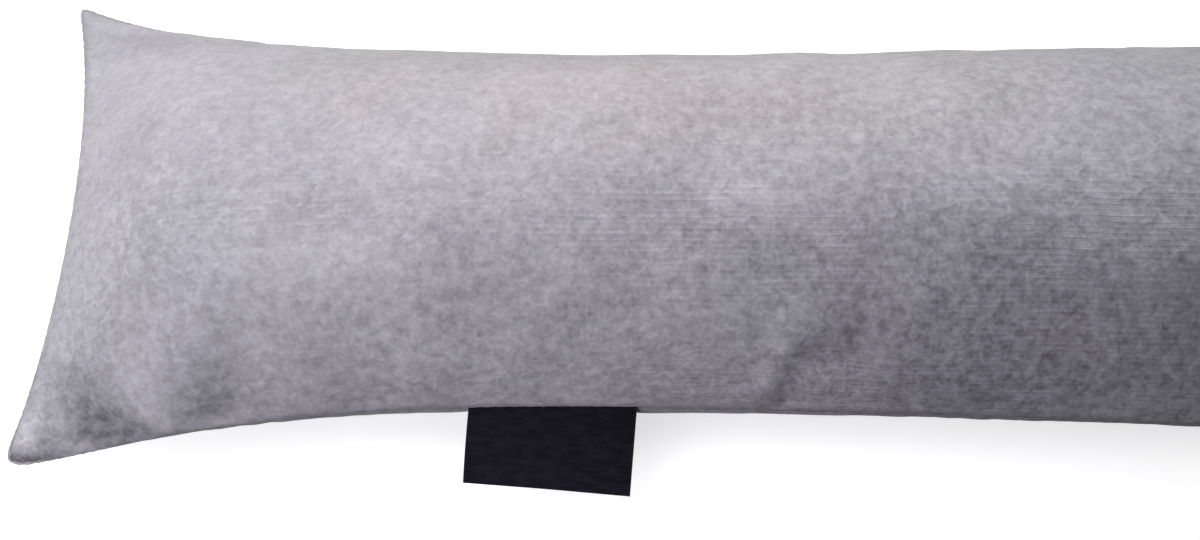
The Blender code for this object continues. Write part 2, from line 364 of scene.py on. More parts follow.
class Ripples:
    """Soft random waves over a plane, the sum of seeded sine waves in a band of lengths."""

    def __init__(self, seed: int, shortest: float, longest: float, count: int = 48) -> None:
        """Draw the waves.

        Args:
            seed: seed of the random draws.
            shortest: shortest wave, in metres.
            longest: longest wave, in metres.
            count: number of waves.
        """
        draw = np.random.default_rng(seed)
        length = np.exp(draw.uniform(math.log(shortest), math.log(longest), count))
        heading = draw.uniform(0.0, 2.0 * math.pi, count)
        self.steps = np.stack([np.cos(heading), np.sin(heading)]) * (2.0 * math.pi / length)
        self.phase = draw.uniform(0.0, 2.0 * math.pi, count)
        self.scale = math.sqrt(2.0 / count)

    def __call__(self, u: np.ndarray, v: Floats) -> np.ndarray:
        """Height of the waves at places, about 1 in strength.

        Args:
            u: first coordinate of the places.
            v: second coordinate.

        Returns:
            The heights.
        """
        total = np.zeros(np.broadcast(u, v).shape)
        for step_u, step_v, phase in zip(self.steps[0], self.steps[1], self.phase):
            total += np.sin(u * step_u + v * step_v + phase)
        return total * self.scale


@dataclass
class PanelGrid:
    """Points of one panel, a row per station along the cushion and a column per line across it."""

    points: np.ndarray
    along: np.ndarray
    arc: np.ndarray

    def slopes(self) -> np.ndarray:
        """Unit normals of the grid, on the side where the rows turn to the columns right-handed.

        Returns:
            A unit vector for each point.
        """
        along = np.gradient(self.points, axis=0)
        across = np.gradient(self.points, axis=1)
        normal = np.cross(along, across)
        return normal / np.maximum(np.linalg.norm(normal, axis=-1, keepdims=True), SMALLEST_LENGTH)

    def seam_outward(self) -> tuple[np.ndarray, np.ndarray]:
        """Where the grid's edge points are, and the level direction straight out of the seam at each.

        Returns:
            A true or false for each point, and the directions.
        """
        out = np.zeros(self.points.shape)
        every = slice(None)
        borders = (((every, 0), 1.0), ((every, -1), -1.0), ((0, every), -1.0), ((-1, every), 1.0))
        for border, sign in borders:
            tangent = np.gradient(self.points[border], axis=0)
            tangent /= np.linalg.norm(tangent, axis=-1, keepdims=True)
            out[border] += sign * np.stack([tangent[:, 1], -tangent[:, 0], np.zeros(len(tangent))], -1)
        edge = np.linalg.norm(out, axis=-1) > 0.0
        out[edge] /= np.linalg.norm(out[edge], axis=-1, keepdims=True)
        return edge, out


def shared_grid(rows: int, columns: int) -> tuple[np.ndarray, np.ndarray, np.ndarray]:
    """Point numbers and faces of two grids that share their edge points.

    Args:
        rows: rows of each grid.
        columns: columns of each grid.

    Returns:
        Numbers of the upper grid's points, those of the lower grid's, and the corners of all faces.
    """
    top = np.arange(rows * columns).reshape(rows, columns)
    bottom = top.copy()
    bottom[INNER] = rows * columns + np.arange((rows - 2) * (columns - 2)).reshape(rows - 2, columns - 2)
    quads = []
    for index, flip in ((top, False), (bottom, True)):
        corners = [index[:-1, :-1], index[1:, :-1], index[1:, 1:], index[:-1, 1:]]
        quads.append(np.stack(corners[::-1] if flip else corners, -1).reshape(-1, 4))
    return top, bottom, np.concatenate(quads)


def tube_faces(rings: int, count: int) -> np.ndarray:
    """Outward faces of a flattened tube with closed ends, its points numbered ring after ring.

    Args:
        rings: how many rings it has.
        count: points in each ring.

    Returns:
        The corners of all faces.
    """
    index = np.arange(rings * count).reshape(rings, count)
    after = np.roll(index, -1, axis=1)
    quads = np.stack([index[:-1], after[:-1], after[1:], index[1:]], -1).reshape(-1, 4)
    step = np.arange(count // 2 - 1)
    cap = np.stack([step, step + 1, count - 2 - step, count - 1 - step], -1)
    return np.concatenate([quads, index[0][cap][:, ::-1], index[-1][cap]])


def joined(above: np.ndarray, below: np.ndarray) -> np.ndarray:
    """Values of the upper grid's points, then of the lower grid's inner ones, as the mesh numbers them."""
    width = above.shape[2:]
    return np.concatenate([above.reshape(-1, *width), below[INNER].reshape(-1, *width)])


def still_edges(values: np.ndarray) -> np.ndarray:
    """The grid's values with zeros along its four edges.

    Args:
        values: the grid.

    Returns:
        The new grid.
    """
    still = np.zeros(values.shape)
    still[INNER] = values[INNER]
    return still


def new_piece(name: str, points: np.ndarray, faces: Sequence[Sequence[int]]) -> bpy.types.Object:
    """Make a mesh object and put it in the scene.

    Args:
        name: name of the object and of its mesh.
        points: a row per point.
        faces: the numbers of each face's points.

    Returns:
        The object.
    """
    mesh = bpy.data.meshes.new(name)
    mesh.from_pydata(points, [], faces)
    thing = bpy.data.objects.new(name, mesh)
    bpy.context.scene.collection.objects.link(thing)
    return thing


def note(mesh: bpy.types.Mesh, name: str, values: np.ndarray) -> None:
    """Write a number or a vector per point to a named attribute.

    Args:
        mesh: the mesh.
        name: the attribute's name.
        values: one number or one row of three for each point.
    """
    kind, key = ("FLOAT_VECTOR", "vector") if values.ndim == 2 else ("FLOAT", "value")
    mesh.attributes.new(name, kind, "POINT").data.foreach_set(key, values.ravel())


def blur(values: np.ndarray, sigma: float, axis: int) -> np.ndarray:
    """Bell-shaped average of a grid along one axis, its edges repeated.

    Args:
        values: the grid.
        sigma: width of the bell, in steps of the grid.
        axis: axis to average along.

    Returns:
        The averaged grid.
    """
    reach = max(1, int(math.ceil(BLUR_REACH * sigma)))
    weights = np.exp(-0.5 * (np.arange(-reach, reach + 1) / sigma) ** 2)
    weights /= weights.sum()
    ends = [(reach, reach) if a == axis else (0, 0) for a in range(values.ndim)]
    padded = np.pad(values, ends, mode="edge")
    return np.apply_along_axis(np.convolve, axis, padded, weights, mode="valid")


def refine(values: np.ndarray, at: np.ndarray, axis: int) -> np.ndarray:
    """Read an even grid at finer places along one axis, on smooth curves through its values.

    Args:
        values: the grid.
        at: wanted places, from 0 to 1.
        axis: axis to refine.

    Returns:
        The finer grid.
    """
    last = values.shape[axis] - 1
    low = np.clip(np.floor(at * last).astype(int), 0, last - 1)
    t = at * last - low
    weights = (
        (low - 1, 0.5 * (-t + 2.0 * t**2 - t**3)),
        (low, 0.5 * (2.0 - 5.0 * t**2 + 3.0 * t**3)),
        (low + 1, 0.5 * (t + 4.0 * t**2 - 3.0 * t**3)),
        (low + 2, 0.5 * (t**3 - t**2)),
    )
    shape = [len(at) if a == axis else 1 for a in range(values.ndim)]
    total = 0.0
    for index, weight in weights:
        total = total + np.take(values, np.clip(index, 0, last), axis) * weight.reshape(shape)
    return total


@dataclass(frozen=True)
class Filling:
    """How the filling rounds the two panels: their sections, ends and the height of the seams."""

    panel_width: float = 0.200
    seam_height: float = 0.050
    seam_dip: float = 0.003
    crown_run: float = 0.070
    crown_power: float = 2.6
    underside_run: float = 0.060
    underside_power: float = 2.2
    end_blend: float = 0.120
    spacing_blend: float = 0.045
    upper_chord_limit: float = 0.995
    lower_chord_limit: float = 0.985

    def crown_angle(self, chord: np.ndarray) -> np.ndarray:
        """Half angle of an arc as long as the panel is wide, over each chord."""
        return bisect(lambda t: np.sin(t) / t > chord / self.panel_width, len(chord))

    def upper(self, chord: np.ndarray, q: np.ndarray) -> tuple[np.ndarray, np.ndarray]:
        """Section of the upper panel.

        Args:
            chord: distance between the long seams at each station.
            q: place on the cloth, from -1 at the front seam to 1 at the back one.

        Returns:
            Place between the seams, from -1 to 1, and height over them.
        """
        chord = np.minimum(chord, self.upper_chord_limit * self.panel_width)
        angle = self.crown_angle(chord)[:, None]
        radius = self.panel_width / (2.0 * angle)
        turn = angle * q
        return np.sin(turn) / np.sin(angle), radius * (np.cos(turn) - np.cos(angle))

    def lower(self, chord: np.ndarray, height: np.ndarray, q: np.ndarray) -> tuple[np.ndarray, np.ndarray]:
        """Section of the lower panel, an arc that lies flat where it would hang below the floor.

        Args:
            chord: distance between the long seams at each station.
            height: height of the seams over the floor at each station.
            q: place on the cloth, from -1 at the front seam to 1 at the back one.

        Returns:
            Place between the seams, from -1 to 1, and height over them.
        """
        chord = np.minimum(chord, self.lower_chord_limit * self.panel_width)
        hanging = self.crown_angle(chord)
        radius = self.panel_width / (2.0 * hanging)
        depth = radius * (1.0 - np.cos(hanging))
        slack = (self.panel_width - chord) / (2.0 * height)
        resting = bisect(lambda t: (t - np.sin(t)) / (1.0 - np.cos(t)) < slack, len(chord))
        rests = depth > height
        rest_radius = height / (1.0 - np.cos(resting))
        flat = np.where(rests, 0.5 * chord - rest_radius * np.sin(resting), 0.0)[:, None]
        radius = np.where(rests, rest_radius, radius)[:, None]
        depth = np.where(rests, height, depth)[:, None]
        arc = 0.5 * self.panel_width * np.abs(q)
        turn = np.maximum(arc - flat, 0.0) / radius
        place = np.minimum(arc, flat) + radius * np.sin(turn)
        return np.sign(q) * place / (0.5 * chord[:, None]), radius * (1.0 - np.cos(turn)) - depth

    def end_rise(self, distance: np.ndarray, panel: Panel) -> np.ndarray:
        """How full a panel is at distances from its short seam: 0 at the seam, 1 past the run.

        Args:
            distance: distances from the short seam.
            panel: which panel.

        Returns:
            The share of the full height.
        """
        run, power = self.crown_run, self.crown_power
        if panel is Panel.LOWER:
            run, power = self.underside_run, self.underside_power
        return 1.0 - (1.0 - np.clip(distance / run, 0.0, 1.0)) ** power


# Main creases of the upper panel, those of the CAD solid drawn out more finely
CREASES = tuple(
    Crease(*row)
    for row in (
        (-0.1605, 0.001, -0.1520, 0.034, 0.0056, -0.0028),
        (-0.1665, 0.014, -0.1550, 0.048, 0.0070, 0.0018),
        (-0.1430, 0.030, -0.1330, 0.050, 0.0085, -0.0018),
        (-0.1230, 0.028, -0.1280, 0.048, 0.0080, 0.0009),
        (-0.1920, 0.078, -0.1660, 0.064, 0.0110, -0.0015),
        (-0.4150, 0.009, -0.4240, 0.030, 0.0075, -0.0036),
        (-0.3960, 0.002, -0.4090, 0.012, 0.0066, -0.0036),
        (-0.3870, 0.002, -0.4000, 0.034, 0.0062, 0.0024),
        (-0.3660, 0.008, -0.3610, 0.050, 0.0110, -0.0032),
        (-0.3620, 0.042, -0.3475, 0.084, 0.0130, 0.0011),
        (-0.3130, 0.008, -0.3230, 0.032, 0.0105, -0.0015),
        (0.2360, 0.004, 0.2520, 0.056, 0.0090, -0.0024),
        (0.3520, 0.006, 0.3400, 0.048, 0.0090, -0.0020),
        (0.4200, 0.008, 0.4100, 0.042, 0.0080, -0.0026),
    )
)

# Places on the upper panel painted lighter or darker: painted light and shade, partly where the pile lies
# another way
NAP_AND_PAINTED_LIGHT_PATCHES = tuple(
    NapAndPaintedLightPatch(*row)
    for row in (
        (-0.4200, 0.021, 0.015, 0.016, -0.15),
        (-0.4330, 0.009, 0.008, 0.007, -0.24),
        (-0.3990, 0.004, 0.016, 0.009, -0.30),
        (-0.4440, 0.0015, 0.012, 0.0045, -0.72),
        (-0.4425, 0.014, 0.006, 0.009, 0.34),
        (-0.4260, 0.042, 0.010, 0.012, 0.10),
        (-0.3880, 0.010, 0.009, 0.013, 0.20),
        (-0.4240, 0.140, 0.014, 0.050, 0.14),
        (-0.4080, 0.184, 0.030, 0.012, -0.18),
        (-0.4120, 0.076, 0.014, 0.016, 0.13),
        (-0.3860, 0.050, 0.015, 0.014, 0.14),
        (-0.3560, 0.036, 0.014, 0.010, 0.12),
        (-0.3640, 0.044, 0.012, 0.016, -0.08),
        (-0.2350, 0.170, 0.065, 0.020, -0.12),
        (-0.3400, 0.150, 0.045, 0.024, -0.08),
        (-0.3350, 0.062, 0.045, 0.028, 0.13),
        (-0.3180, 0.068, 0.020, 0.011, 0.10),
        (-0.3190, 0.087, 0.022, 0.010, -0.12),
        (-0.2900, 0.085, 0.034, 0.030, 0.06),
        (-0.2750, 0.042, 0.036, 0.016, -0.10),
        (-0.2270, 0.050, 0.022, 0.010, -0.08),
        (-0.2150, 0.088, 0.014, 0.012, -0.12),
        (-0.1720, 0.089, 0.022, 0.014, 0.10),
        (-0.1750, 0.128, 0.030, 0.016, -0.09),
        (-0.0950, 0.068, 0.040, 0.020, -0.13),
        (-0.0750, 0.106, 0.045, 0.020, 0.16),
        (-0.1260, 0.036, 0.020, 0.012, -0.07),
        (-0.0600, 0.040, 0.140, 0.032, -0.10),
        (-0.1120, 0.012, 0.024, 0.016, -0.10),
        (-0.0720, 0.020, 0.028, 0.018, -0.16),
    )
)


@dataclass
class Stuffing:
    """Cloth simulation of the two panels under the filling's pressure, which puckers them at the ends.

    It runs on a coarse copy of the panels that remembers them flat, as they were cut. Only the folds that
    it makes are kept: its broad swelling is taken out, because the sections already have it.
    """

    rows: int = 170
    columns: int = 36
    frames: int = 20
    pressure: float = 60.0
    mass: float = 0.003
    tension: float = 15.0
    compression: float = 10.0
    shear: float = 5.0
    bending: float = 0.05
    quality: int = 6
    ease_along: float = 1.030
    ease_across: float = 1.004
    start_ripple: float = 0.0001
    broad: float = 0.030
    cap: float = 0.0045

    def run(self, upper: PanelGrid, lower: PanelGrid, ripples: Ripples) -> tuple[np.ndarray, np.ndarray]:
        """Simulate the panels.

        Args:
            upper: coarse grid of the upper panel.
            lower: coarse grid of the lower panel, its edges in the same places.
            ripples: the slight unevenness that the folds start from.

        Returns:
            Height of the folds over each panel's own surface, at the points of the grids.
        """
        top, bottom, quads = shared_grid(*upper.arc.shape)
        up, down = upper.slopes(), -lower.slopes()
        start = still_edges(self.start_ripple * ripples(upper.along, upper.arc))[..., None]
        points = joined(upper.points + up * start, lower.points + down * start)
        sizes = (upper.along * self.ease_along, upper.arc * self.ease_across, np.zeros(upper.arc.shape))
        cut = np.stack(sizes, -1)
        thing = new_piece("stuffing_cloth", points, quads)
        thing.shape_key_add(name="as_filled")
        as_cut = thing.shape_key_add(name="as_cut")
        as_cut.data.foreach_set("co", joined(cut, cut).ravel())
        as_cut.value = 0.0
        seam = thing.vertex_groups.new(name="seam")
        edge = np.concatenate([top[0], top[-1], top[1:-1, 0], top[1:-1, -1]])
        resting = bottom[INNER][lower.points[INNER][..., 2] < self.cap]
        seam.add([int(i) for i in np.concatenate([edge, resting])], 1.0, "REPLACE")
        self.set_cloth(thing, as_cut.name, seam.name)
        after = self.settle(thing)
        folds = []
        for grid, index, normal in ((upper, top, up), (lower, bottom, down)):
            moved = ((after[index] - grid.points) * normal).sum(-1)
            folds.append(self.only_folds(moved, grid))
        return folds[0], folds[1]

    def set_cloth(self, thing: bpy.types.Object, rest_key: str, pin_group: str) -> None:
        """Add the Cloth modifier with the filling's pressure, and no gravity.

        Args:
            thing: the coarse copy of the panels.
            rest_key: shape key of the panels as they were cut.
            pin_group: vertex group of the points that stay where they are.
        """
        cloth = thing.modifiers.new("stuffing", "CLOTH")
        wanted = {
            "quality": self.quality,
            "mass": self.mass,
            "tension_stiffness": self.tension,
            "compression_stiffness": self.compression,
            "shear_stiffness": self.shear,
            "bending_stiffness": self.bending,
            "use_pressure": True,
            "uniform_pressure_force": self.pressure,
            "rest_shape_key": thing.data.shape_keys.key_blocks[rest_key],
            "vertex_group_mass": pin_group,
        }
        for name, value in wanted.items():
            setattr(cloth.settings, name, value)
        cloth.settings.effector_weights.gravity = 0.0
        cloth.collision_settings.use_collision = False
        cloth.collision_settings.use_self_collision = False
        cloth.point_cache.frame_start = 1
        cloth.point_cache.frame_end = self.frames

    def settle(self, thing: bpy.types.Object) -> np.ndarray:
        """Run the simulation through its frames and take the coarse copy away.

        Args:
            thing: the coarse copy of the panels.

        Returns:
            Where its points have come to.
        """
        scene = bpy.context.scene
        for step in range(1, self.frames + 1):
            scene.frame_set(step)
        evaluated = thing.evaluated_get(bpy.context.evaluated_depsgraph_get())
        mesh = thing.data
        after = np.empty(len(mesh.vertices) * 3)
        evaluated.data.vertices.foreach_get("co", after)
        scene.frame_set(1)
        bpy.data.objects.remove(thing)
        bpy.data.meshes.remove(mesh)
        return after.reshape(-1, 3)

    def only_folds(self, moved: np.ndarray, grid: PanelGrid) -> np.ndarray:
        """What is left of a movement once its broad part is taken out, capped, and still at the seams.

        Args:
            moved: how far each point moved outwards.
            grid: the coarse panel.

        Returns:
            The height of the folds.
        """
        step_along = float(grid.along[1, 0] - grid.along[0, 0])
        step_across = float(grid.arc[0, 1] - grid.arc[0, 0])
        broad = blur(blur(moved, self.broad / step_along, 0), self.broad / step_across, 1)
        return still_edges(np.clip(moved - broad, -self.cap, self.cap))


@dataclass
class Cushion:
    """The stuffed cushion: two velour panels sewn together and turned, then filled."""

    outline: Outline = field(default_factory=Outline)
    filling: Filling = field(default_factory=Filling)
    stuffing: Stuffing = field(default_factory=Stuffing)
    creases: tuple[Crease, ...] = CREASES
    nap_and_painted_light_patches: tuple[NapAndPaintedLightPatch, ...] = NAP_AND_PAINTED_LIGHT_PATCHES
    crease_fade: float = 0.35
    lines: int = 104
    line_gather: float = 0.55
    seam_step: float = 0.0008
    field_step: float = 0.0023
    step_run: float = 0.040
    crease_start: float = 0.0035
    groove_depth: float = 0.0006
    groove_half_width: float = 0.0017
    lip_rise: float = 0.0002
    lip_at: float = 0.0042
    lip_half_width: float = 0.0024
    pucker_rise: float = 0.00016
    pucker_reach: float = 0.010
    pucker_waves: tuple[float, float] = (0.008, 0.030)
    pucker_slant: float = 0.25
    stitch_pitch: float = 0.0042
    stitch_rise: float = 0.00010
    stitch_reach: float = 0.0030
    sway_rise: float = 0.00030
    sway_start: float = 0.020
    sway_waves: tuple[float, float] = (0.030, 0.110)
    cloth_waves: tuple[float, float] = (0.020, 0.060)
    fill: float = 0.85
    seed: int = 4

    def stations(self, length: float) -> np.ndarray:
        """Fractions of the long seams where the mesh has a row, closer together near the ends.

        Args:
            length: length of the front seam.

        Returns:
            The fractions, from 0 to 1.
        """
        places = [0.0]
        while places[-1] < length:
            from_end = min(places[-1], length - places[-1])
            step = mix(self.seam_step, self.field_step, float(smooth(np.array(from_end / self.step_run))))
            places.append(places[-1] + step)
        return np.array(places) / places[-1]

    def line_places(self) -> np.ndarray:
        """Places of the lines across a panel, from 0 to 1, closer together near the seams."""
        u = np.linspace(0.0, 1.0, self.lines + 1)
        return u - self.line_gather * np.sin(2.0 * math.pi * u) / (2.0 * math.pi)

    def panel(self, panel: Panel, seams: Seams, fractions: np.ndarray, places: np.ndarray) -> PanelGrid:
        """Smooth surface of one panel.

        Args:
            panel: which panel.
            seams: the four rounded seams.
            fractions: stations along the long seams, from 0 to 1.
            places: lines across the cloth, from 0 at the front seam to 1 at the back one.

        Returns:
            The grid of points, with its places on the cloth.
        """
        filling, outline = self.filling, self.outline
        front, back = seams[Side.FRONT].at(fractions), seams[Side.BACK].at(fractions)
        chord = np.linalg.norm(back - front, axis=1)
        middle_x = 0.5 * (front[:, 0] + back[:, 0])
        height = filling.seam_height - filling.seam_dip * outline.belly_part(middle_x)
        q = 2.0 * places[None, :] - 1.0
        if panel is Panel.UPPER:
            place, rise = filling.upper(chord, q)
        else:
            place, rise = filling.lower(chord, height, q)
        length = seams[Side.FRONT].length
        distance = np.minimum(fractions, 1.0 - fractions)[:, None] * length
        place = mix(q, place, smooth(distance / filling.spacing_blend))
        across = 0.5 * (place + 1.0)
        plan = mix(front[:, None, :], back[:, None, :], across[..., None])
        for end, start in ((End.LEFT, 0.0), (End.RIGHT, 1.0)):
            from_end = np.abs(fractions - start)[:, None] * length
            first, last = seams[Side.FRONT].at(start), seams[Side.BACK].at(start)
            bend = seams[end].at(across) - mix(first, last, across[..., None])
            plan = plan + bend * (1.0 - smooth(from_end / filling.end_blend))[..., None]
        z = height[:, None] - outline.corner_droop(plan) + rise * filling.end_rise(distance, panel)
        points = np.concatenate([plan, np.maximum(z, 0.0)[..., None]], -1)
        along = np.broadcast_to(fractions[:, None] * length, z.shape)
        arc = np.broadcast_to(places[None, :] * filling.panel_width, z.shape)
        return PanelGrid(points, along, arc)

    def crease_rise(self, x: np.ndarray, arc: np.ndarray) -> np.ndarray:
        """Height of the creases over the smooth upper panel, at places on its cloth.

        Args:
            x: places along the cushion.
            arc: places on the cloth from the front seam.

        Returns:
            The heights in metres.
        """
        rise = np.zeros(x.shape)
        for row in self.creases:
            line = np.array([row.x2 - row.x1, row.arc2 - row.arc1])
            u, v = x - row.x1, arc - row.arc1
            t = np.clip((u * line[0] + v * line[1]) / (line @ line), 0.0, 1.0)
            away = np.hypot(u - t * line[0], v - t * line[1])
            fade = mix(1.0, self.crease_fade, t)
            rise += row.rise * fade * bell(away / row.half_width)
        return rise

    def nap_and_painted_light(self, x: np.ndarray, arc: np.ndarray) -> np.ndarray:
        """How much lighter the upper panel is painted at places, as painted light and shade and partly for
        the way that the pile lies.

        Args:
            x: places along the cushion.
            arc: places on the cloth from the front seam.

        Returns:
            The shade, below zero where darker.
        """
        shade = np.zeros(x.shape)
        for row in self.nap_and_painted_light_patches:
            shade += row.shade * bell((x - row.x) / row.reach_x) * bell((arc - row.arc) / row.reach_arc)
        return shade

    def seam_distance(self, grid: PanelGrid) -> np.ndarray:
        """Distance over the cloth from the nearest seam.

        Args:
            grid: one panel.

        Returns:
            The distance of each point.
        """
        width, length = self.filling.panel_width, grid.along[-1, 0]
        across = np.minimum(grid.arc, width - grid.arc)
        ends = np.minimum(grid.along, length - grid.along)
        return np.minimum(across, ends)

    def seam_relief(self, grid: PanelGrid, panel: Panel) -> np.ndarray:
        """The sewn edge: a groove along the seam, soft lips beside it, stitch dimples and puckers.

        Args:
            grid: one panel.
            panel: which panel it is.

        Returns:
            The height over the smooth panel.
        """
        away = self.seam_distance(grid)
        seed = self.seed if panel is Panel.UPPER else self.seed + 1
        around = grid.along + grid.arc
        groove = -self.groove_depth * bell(away / self.groove_half_width)
        lip = self.lip_rise * bell((away - self.lip_at) / self.lip_half_width)
        gather = Ripples(seed, *self.pucker_waves)(around, self.pucker_slant * (grid.arc - grid.along))
        pucker = self.pucker_rise * gather * np.exp(-away / self.pucker_reach)
        pucker *= 1.0 - bell(away / self.groove_half_width)
        stitch = np.cos(2.0 * math.pi * around / self.stitch_pitch)
        stitch *= self.stitch_rise * bell(away / self.stitch_reach)
        return groove + lip + pucker + stitch

    def folds(
        self, seams: Seams, fractions: np.ndarray, places: np.ndarray
    ) -> tuple[np.ndarray, np.ndarray]:
        """Args:
            seams: the four rounded seams.
            fractions: stations of the fine mesh.
            places: lines of the fine mesh.

        Returns:
            Height of the folds over the upper and the lower panel.
        """
        rows = np.linspace(0.0, 1.0, self.stuffing.rows + 1)
        columns = np.linspace(0.0, 1.0, self.stuffing.columns + 1)
        grids = [self.panel(panel, seams, rows, columns) for panel in Panel]
        coarse = self.stuffing.run(grids[0], grids[1], Ripples(self.seed + 3, *self.cloth_waves))
        above, below = (refine(refine(folds, fractions, 0), places, 1) for folds in coarse)
        return above, below

    def shape(self) -> tuple[PanelGrid, PanelGrid, np.ndarray]:
        """Both panels with their creases and sewn edges.

        Returns:
            The upper panel, the lower panel and the crease height over the upper one.
        """
        seams = self.outline.seams()
        fractions = self.stations(seams[Side.FRONT].length)
        places = self.line_places()
        upper = self.panel(Panel.UPPER, seams, fractions, places)
        lower = self.panel(Panel.LOWER, seams, fractions, places)
        up, down = upper.slopes(), -lower.slopes()
        edge, outward = upper.seam_outward()
        up[edge], down[edge] = outward[edge], outward[edge]
        away = self.seam_distance(upper)
        crease = self.crease_rise(upper.points[..., 0], upper.arc)
        crease *= 1.0 - bell(away / self.crease_start)
        sway = Ripples(self.seed + 2, *self.sway_waves)(upper.along, upper.arc)
        folds_up, folds_down = self.folds(seams, fractions, places)
        rise = folds_up + crease + self.sway_rise * sway * smooth(away / self.sway_start)
        rise += self.seam_relief(upper, Panel.UPPER)
        upper.points = upper.points + up * rise[..., None]
        low_rise = folds_down + self.seam_relief(lower, Panel.LOWER)
        lower.points = lower.points + down * low_rise[..., None]
        lower.points[edge] = upper.points[edge]
        for grid in (upper, lower):
            grid.points[..., 2] = np.maximum(grid.points[..., 2], 0.0)
        return upper, lower, crease

    def build(self) -> bpy.types.Object:
        """Make the mesh of the cushion, with its places on the cloth as attributes for the finish.

        Returns:
            The cushion.
        """
        upper, lower, crease = self.shape()
        _, _, quads = shared_grid(*upper.arc.shape)
        thing = new_piece("velour_cushion", joined(upper.points, lower.points), quads)
        thing.data.validate()
        thing.data.shade_smooth()
        level = np.zeros(upper.arc.shape)
        both = ((upper, 0.0), (lower, 1.0))
        cloth = [np.stack([grid.along, grid.arc, level + below], -1) for grid, below in both]
        seam = [self.seam_distance(grid) for grid in (upper, lower)]
        # Painted light and shade in patches on the upper panel, partly for the way that the pile lies
        shade = self.nap_and_painted_light(upper.points[..., 0], upper.arc)
        note(thing.data, "cloth", joined(*cloth))
        note(thing.data, "seam_distance", joined(*seam))
        note(thing.data, "crease_rise", joined(crease, level))
        note(thing.data, "nap_and_painted_light", joined(shade, level))
        return thing

    def dress(self, thing: bpy.types.Object) -> None:
        """Give the cushion its finish, put it on its body and hide the CAD part that it stands for.

        Args:
            thing: the cushion's object.
        """
        thing.data.materials.append(Velour().material())
        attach(thing, BODY)
        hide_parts("cushion")


@dataclass
class SewnLabel:
    """The plain folded label in the front seam: two thin layers of tape, their fold at the free edge."""

    outline: Outline = field(default_factory=Outline)
    filling: Filling = field(default_factory=Filling)
    middle_x: float = -0.2442
    width: float = 0.0625
    depth: float = 0.0305
    tilt: float = math.radians(4.8)
    layer: float = 0.00045
    gap: float = 0.00035
    tuck: float = 0.0012
    dip_start: float = math.radians(8.0)
    dip_end: float = math.radians(34.0)
    width_steps: int = 60
    depth_steps: int = 36
    fold_steps: int = 10
    droop_parts: int = 48
    bow: float = 0.0004
    sharp_angle: float = math.radians(50.0)

    def section(self) -> np.ndarray:
        """Points round the folded section, as depth from the seam and height over the middle layer.

        Returns:
            The points, the outer face first and then the inner one.
        """
        outer, inner = self.layer + 0.5 * self.gap, 0.5 * self.gap
        fold_at = self.depth - outer
        steps = np.linspace(0.0, fold_at, self.depth_steps + 1)
        turns = np.linspace(0.5 * math.pi, -0.5 * math.pi, self.fold_steps + 1)[1:-1]
        parts = []
        for radius, start, heading in ((outer, outer, turns), (inner, -inner, turns[::-1])):
            level = np.full(steps.shape, start)
            parts.append(np.stack([steps, level], -1))
            parts.append(np.stack([fold_at + radius * np.cos(heading), radius * np.sin(heading)], -1))
            parts.append(np.stack([steps[::-1], -level], -1))
        return np.concatenate(parts)

    def droop(self, depth: np.ndarray) -> tuple[np.ndarray, np.ndarray, np.ndarray]:
        """Where the middle layer is at depths from the seam: out, down and its dip there.

        Args:
            depth: places down the label from the seam.

        Returns:
            The distance out, the distance down and the slope.
        """
        parts = (np.arange(self.droop_parts) + 0.5) / self.droop_parts
        dips = mix(self.dip_start, self.dip_end, parts * depth[..., None] / self.depth)
        step = depth / self.droop_parts
        out, down = np.cos(dips).sum(-1) * step, np.sin(dips).sum(-1) * step
        return out, down, mix(self.dip_start, self.dip_end, depth / self.depth)

    def rings(self, places: np.ndarray, section: np.ndarray) -> tuple[np.ndarray, np.ndarray]:
        """The section at places along the seam, drooping from the seam there.

        Args:
            places: places across the label, from -0.5 to 0.5.
            section: points round the section.

        Returns:
            The points, a row for each place, and how far down the label each one is.
        """
        along = np.array([math.cos(self.tilt), -math.sin(self.tilt), 0.0])
        outward = np.array([-math.sin(self.tilt), -math.cos(self.tilt), 0.0])
        dip = self.filling.seam_dip * self.outline.belly_part(self.middle_x)
        root_y = -self.outline.half_width(self.middle_x, Side.FRONT)
        root = np.array([self.middle_x, root_y, self.filling.seam_height - dip])
        line = root + along * (places[:, None] * self.width)
        seam_y = -self.outline.half_width(line[:, 0], Side.FRONT) + self.tuck
        start = (line[:, 1] - seam_y) / -outward[1]
        depth = mix(start[:, None], self.depth, section[None, :, 0] / self.depth)
        out, down, dips = self.droop(depth)
        height = section[None, :, 1]
        points = line[:, None, :] + outward * (out + height * np.sin(dips))[..., None]
        free = np.clip(depth / self.depth, 0.0, 1.0) ** 2
        bow = self.bow * np.cos(2.0 * math.pi * places)[:, None] * free
        points[..., 2] += height * np.cos(dips) - down + bow
        return points, depth

    def build(self) -> bpy.types.Object:
        """Make the label's mesh, with its places on the tape as an attribute for the finish.

        Returns:
            The label.
        """
        section = self.section()
        places = np.linspace(-0.5, 0.5, self.width_steps + 1)
        points, depth = self.rings(places, section)
        thing = new_piece("label_tape_fold", points.reshape(-1, 3), tube_faces(*depth.shape))
        thing.data.validate()
        thing.data.shade_smooth()
        thing.data.set_sharp_from_angle(angle=self.sharp_angle)
        cloth = np.broadcast_arrays(places[:, None] * self.width, depth, section[None, :, 1])
        note(thing.data, "cloth", np.stack(cloth, -1).reshape(-1, 3))
        return thing

    def dress(self, thing: bpy.types.Object, seam_piece: bpy.types.Object) -> None:
        """Give the label its finish, put it on its body and hide the CAD part that it stands for.

        Args:
            thing: the label's object.
            seam_piece: the cushion that it is sewn into; not used.
        """
        thing.data.materials.append(LabelTape(self.width, self.depth).material())
        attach(thing, BODY)
        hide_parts("label")
        flat = (self.width, 2.0 * self.depth)


